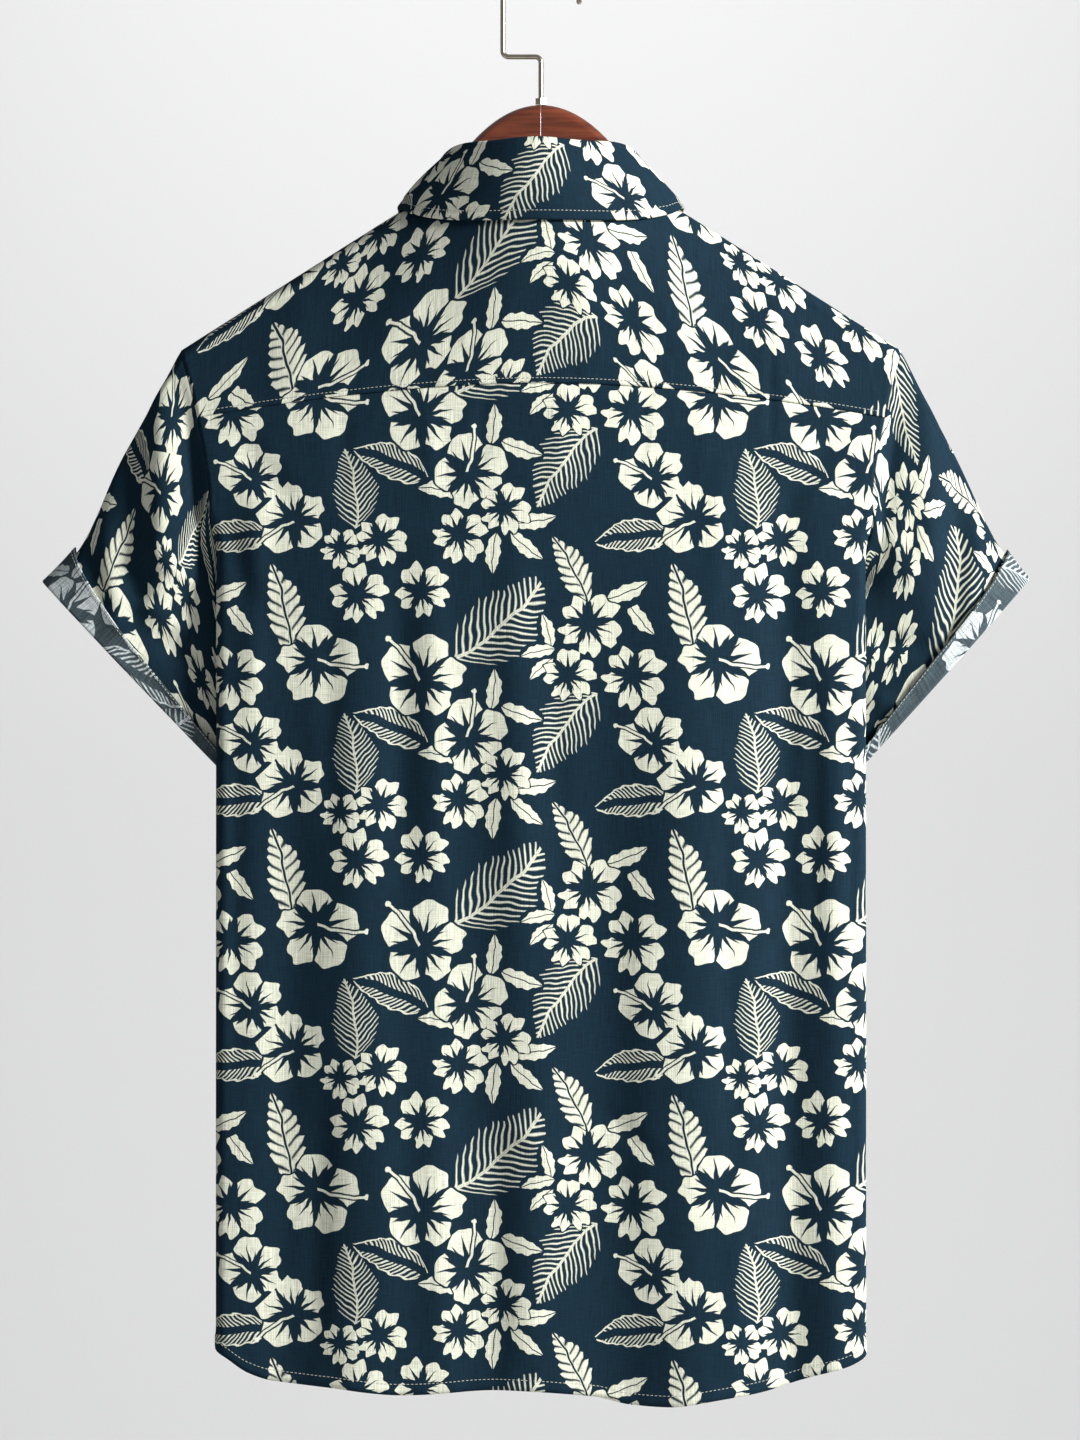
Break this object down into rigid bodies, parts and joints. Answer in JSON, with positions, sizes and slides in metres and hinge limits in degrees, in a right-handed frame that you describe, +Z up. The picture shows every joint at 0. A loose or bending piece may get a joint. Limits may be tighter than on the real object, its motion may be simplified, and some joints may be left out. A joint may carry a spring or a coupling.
{
  "type": "hawaiian shirt on a wooden hanger",
  "caption": "Short-sleeved button-front printed shirt with turned-down collar, back yoke and turned-up cuffs, hanging on a wooden hanger with a wire hook.",
  "frame": {"origin": "inside top of the hook, where a rail carries it", "axes": "+Z up, the garment's front faces -Y and its back +Y, +X is the wearer's left"},
  "size_m": [0.6105, 0.0922, 0.9011],
  "materials": {
    "printed_cloth": "plain-weave cotton, navy with a cream flower and leaf print",
    "cloth_wrong_side": "wrong side of the printed cotton, slate grey with a pale show-through print",
    "button_plastic": "four-hole navy button",
    "hanger_wood": "red-brown stained wood under gloss varnish",
    "hanger_metal": "bright wire and nut with a warm nickel tone"
  },
  "bodies": {
    "root": {"back_panel": "printed_cloth", "yoke": "printed_cloth", "front_left": "printed_cloth", "front_right": "printed_cloth", "placket": "printed_cloth", "sleeve_left": "printed_cloth", "sleeve_right": "printed_cloth", "collar": "printed_cloth", "cuff_left": "cloth_wrong_side", "cuff_right": "cloth_wrong_side", "button_1": "button_plastic", "button_2": "button_plastic", "button_3": "button_plastic", "button_4": "button_plastic", "button_5": "button_plastic", "button_6": "button_plastic", "hanger_arm_left": "hanger_wood", "hanger_arm_right": "hanger_wood", "hanger_nut": "hanger_metal", "hanger_hook": "hanger_metal"}
  },
  "joints": []
}
